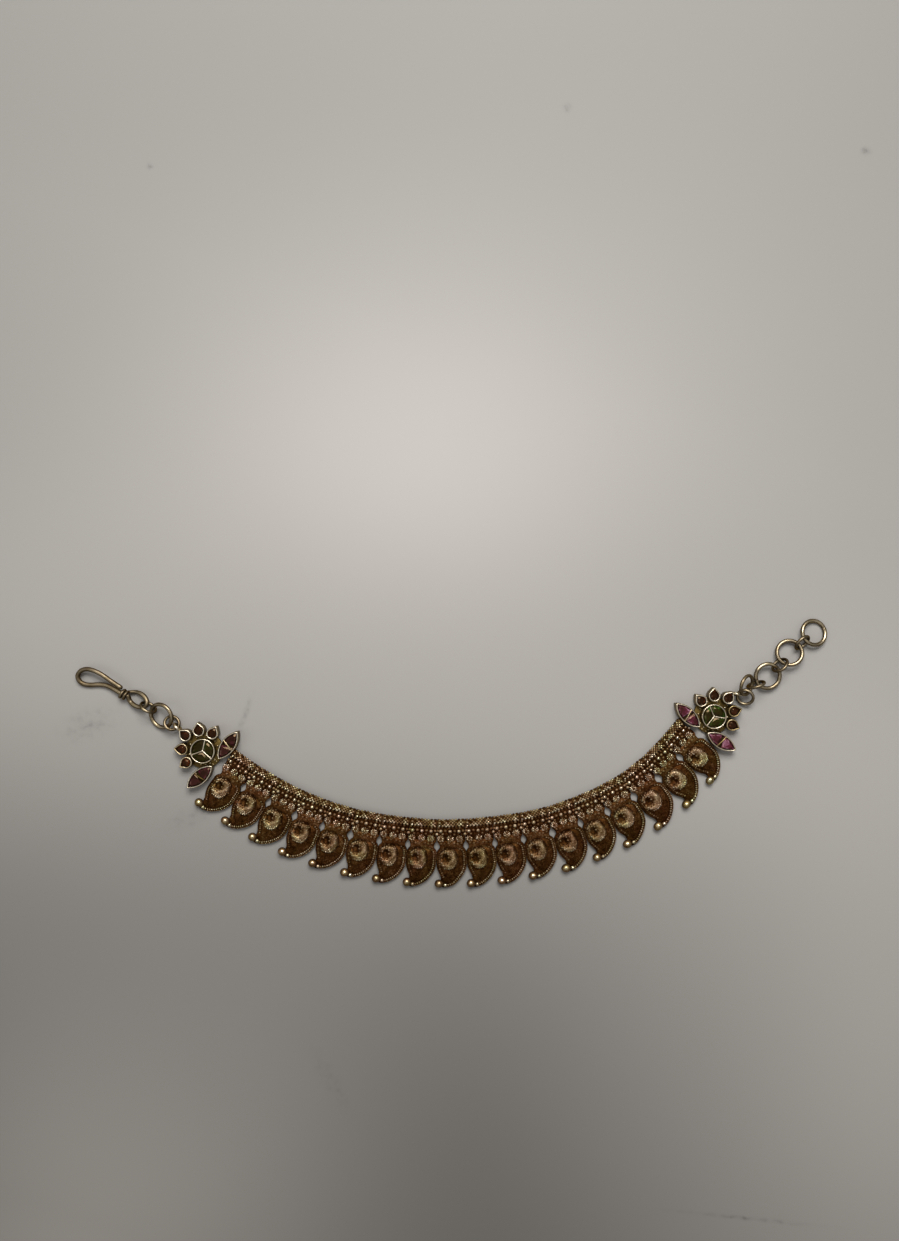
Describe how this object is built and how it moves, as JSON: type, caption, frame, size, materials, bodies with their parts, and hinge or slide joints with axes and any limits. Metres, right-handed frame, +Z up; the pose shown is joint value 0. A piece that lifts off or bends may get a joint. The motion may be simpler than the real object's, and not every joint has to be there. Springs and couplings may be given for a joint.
{
  "type": "ear chain",
  "caption": "Traditional ear chain: a curved band of mango-shaped links with a jewelled flower plate at each end, a hook at one side and a short chain of rings at the other.",
  "frame": {"origin": "middle of the whole ear chain's bounding box, at the surface it lies on", "axes": "+X from the hook end to the ring end, +Y from the mango tails towards the ridge, +Z up, out of the face"},
  "size_m": [0.1386, 0.0496, 0.004],
  "materials": {
    "antique_gold": "matt antique gold plating with bright raised edges",
    "bright_gold": "polished pale gold plating",
    "green_stone": "cut and polished",
    "garnet": "cut and polished",
    "purple_stone": "cut and polished"
  },
  "bodies": {
    "root": {"mango_01": "antique_gold", "mango_02": "antique_gold", "mango_03": "antique_gold", "mango_04": "antique_gold", "mango_05": "antique_gold", "mango_06": "antique_gold", "mango_07": "antique_gold", "mango_08": "antique_gold", "mango_09": "antique_gold", "mango_10": "antique_gold", "mango_11": "antique_gold", "mango_12": "antique_gold", "mango_13": "antique_gold", "mango_14": "antique_gold", "mango_15": "antique_gold", "mango_16": "antique_gold", "mango_17": "antique_gold", "mango_18": "antique_gold", "left_plate": "antique_gold", "right_plate": "antique_gold", "band_wire": "antique_gold", "hook": "bright_gold", "ring_a": "bright_gold", "ring_b": "bright_gold", "ring_c": "bright_gold", "ring_d": "bright_gold", "ring_e": "bright_gold", "joint_ab": "bright_gold", "joint_bc": "bright_gold", "joint_cd": "bright_gold", "joint_d_plate": "bright_gold", "joint_e_plate": "bright_gold", "joint_e_hook": "bright_gold", "left_green_1": "green_stone", "left_green_2": "green_stone", "left_green_3": "green_stone", "left_garnet_1": "garnet", "left_garnet_2": "garnet", "left_garnet_3": "garnet", "left_garnet_4": "garnet", "left_garnet_5": "garnet", "left_purple_1": "purple_stone", "left_purple_2": "purple_stone", "left_purple_3": "purple_stone", "left_purple_4": "purple_stone", "right_green_1": "green_stone", "right_green_2": "green_stone", "right_green_3": "green_stone", "right_garnet_1": "garnet", "right_garnet_2": "garnet", "right_garnet_3": "garnet", "right_garnet_4": "garnet", "right_garnet_5": "garnet", "right_purple_1": "purple_stone", "right_purple_2": "purple_stone", "right_purple_3": "purple_stone", "right_purple_4": "purple_stone"}
  },
  "joints": []
}
